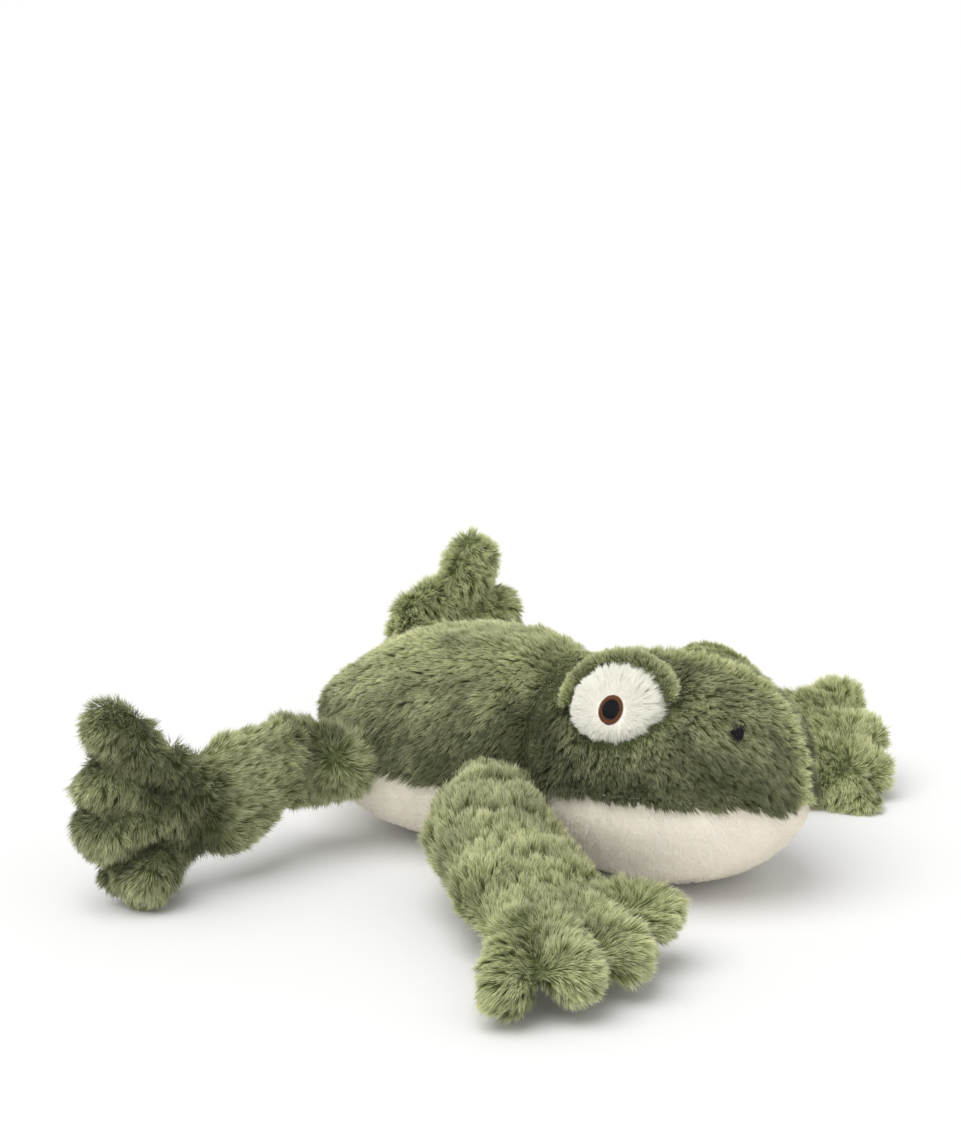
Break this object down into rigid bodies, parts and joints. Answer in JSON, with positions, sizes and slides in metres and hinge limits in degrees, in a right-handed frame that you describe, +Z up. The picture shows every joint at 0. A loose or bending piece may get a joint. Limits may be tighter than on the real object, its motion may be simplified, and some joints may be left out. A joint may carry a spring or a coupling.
{
  "type": "plush frog",
  "caption": "Floppy long-pile plush frog lying on its belly, with jointed limbs, splayed hands and feet, cream belly and jaw, and padded white eyes.",
  "frame": {"origin": "on the floor under the middle of the whole toy's bounding box", "axes": "the frog faces -Y, +Z is up, its own left side is +X"},
  "size_m": [0.4074, 0.312, 0.1165],
  "materials": {
    "green_plush": "long-pile sage green plush",
    "cream_plush": "short-nap cream plush",
    "white_plush": "long-pile off-white plush",
    "brown_thread": "satin embroidery thread",
    "black_thread": "satin embroidery thread",
    "filling": "loose polyester fibre",
    "seam_thread": "rolled sewn seam"
  },
  "bodies": {
    "torso": {"back_panel": "green_plush", "belly_panel": "cream_plush", "torso_filling": "filling", "neck_seam": "seam_thread", "right_shoulder_seam": "seam_thread", "left_shoulder_seam": "seam_thread", "right_hip_seam": "seam_thread", "left_hip_seam": "seam_thread"},
    "head": {"right_head_panel": "green_plush", "left_head_panel": "green_plush", "jaw_panel": "cream_plush", "head_filling": "filling", "right_eye_white": "white_plush", "right_iris": "brown_thread", "right_pupil": "black_thread", "right_eyelid": "green_plush", "right_nostril": "black_thread", "left_eye_white": "white_plush", "left_iris": "brown_thread", "left_pupil": "black_thread", "left_eyelid": "green_plush", "left_nostril": "black_thread"},
    "right_upper_arm": {"right_upper_arm_cover": "green_plush", "right_upper_arm_filling": "filling", "right_wrist_seam": "seam_thread"},
    "right_hand": {"right_hand_cover": "green_plush", "right_hand_filling": "filling"},
    "left_upper_arm": {"left_upper_arm_cover": "green_plush", "left_upper_arm_filling": "filling", "left_wrist_seam": "seam_thread"},
    "left_hand": {"left_hand_cover": "green_plush", "left_hand_filling": "filling"},
    "right_thigh": {"right_thigh_cover": "green_plush", "right_thigh_filling": "filling", "right_knee_seam": "seam_thread"},
    "right_shin": {"right_shin_cover": "green_plush", "right_shin_filling": "filling", "right_ankle_seam": "seam_thread"},
    "right_foot": {"right_foot_cover": "green_plush", "right_foot_filling": "filling"},
    "left_thigh": {"left_thigh_cover": "green_plush", "left_thigh_filling": "filling", "left_knee_seam": "seam_thread"},
    "left_shin": {"left_shin_cover": "green_plush", "left_shin_filling": "filling", "left_ankle_seam": "seam_thread"},
    "left_foot": {"left_foot_cover": "green_plush", "left_foot_filling": "filling"}
  },
  "joints": [
    {"name": "neck_nod", "type": "hinge", "parent": "torso", "child": "head", "pos_m": [0.01064, -0.02777, 0.052], "axis": [-0.9994, 0.0349, 0], "range_deg": [-12, 12]},
    {"name": "right_shoulder_lift", "type": "hinge", "parent": "torso", "child": "right_upper_arm", "pos_m": [-0.04293, -0.01354, 0.043], "axis": [-0.4067, 0.9135, 0], "range_deg": [-20, 30]},
    {"name": "right_wrist_bend", "type": "hinge", "parent": "right_upper_arm", "child": "right_hand", "pos_m": [-0.11049, -0.07227, 0.02721], "axis": [-0.866, 0.5, 0], "range_deg": [-30, 30]},
    {"name": "left_shoulder_lift", "type": "hinge", "parent": "torso", "child": "left_upper_arm", "pos_m": [0.06416, -0.01364, 0.043], "axis": [-0.4695, -0.8829, 0], "range_deg": [-20, 30]},
    {"name": "left_wrist_bend", "type": "hinge", "parent": "left_upper_arm", "child": "left_hand", "pos_m": [0.1373, -0.05586, 0.02962], "axis": [-0.7621, -0.3761, -0.527], "range_deg": [-30, 30]},
    {"name": "right_hip_lift", "type": "hinge", "parent": "torso", "child": "right_thigh", "pos_m": [-0.04576, 0.07134, 0.044], "axis": [0.309, 0.9511, 0], "range_deg": [-15, 20]},
    {"name": "right_knee_bend", "type": "hinge", "parent": "right_thigh", "child": "right_shin", "pos_m": [-0.07186, 0.08765, 0.04778], "axis": [-0.1204, 0.0191, 0.9925], "range_deg": [-25, 30]},
    {"name": "right_ankle_bend", "type": "hinge", "parent": "right_shin", "child": "right_foot", "pos_m": [-0.12773, 0.09649, 0.04083], "axis": [0, 0, 1], "range_deg": [-25, 25]},
    {"name": "left_hip_lift", "type": "hinge", "parent": "torso", "child": "left_thigh", "pos_m": [0.06241, 0.08367, 0.044], "axis": [0.4067, -0.9135, 0], "range_deg": [-15, 20]},
    {"name": "left_knee_bend", "type": "hinge", "parent": "left_thigh", "child": "left_shin", "pos_m": [0.08761, 0.10131, 0.04778], "axis": [0.0984, 0.0984, -0.9903], "range_deg": [-25, 30]},
    {"name": "left_ankle_bend", "type": "hinge", "parent": "left_shin", "child": "left_foot", "pos_m": [0.12753, 0.14123, 0.05571], "axis": [0, 0, -1], "range_deg": [-25, 25]}
  ]
}
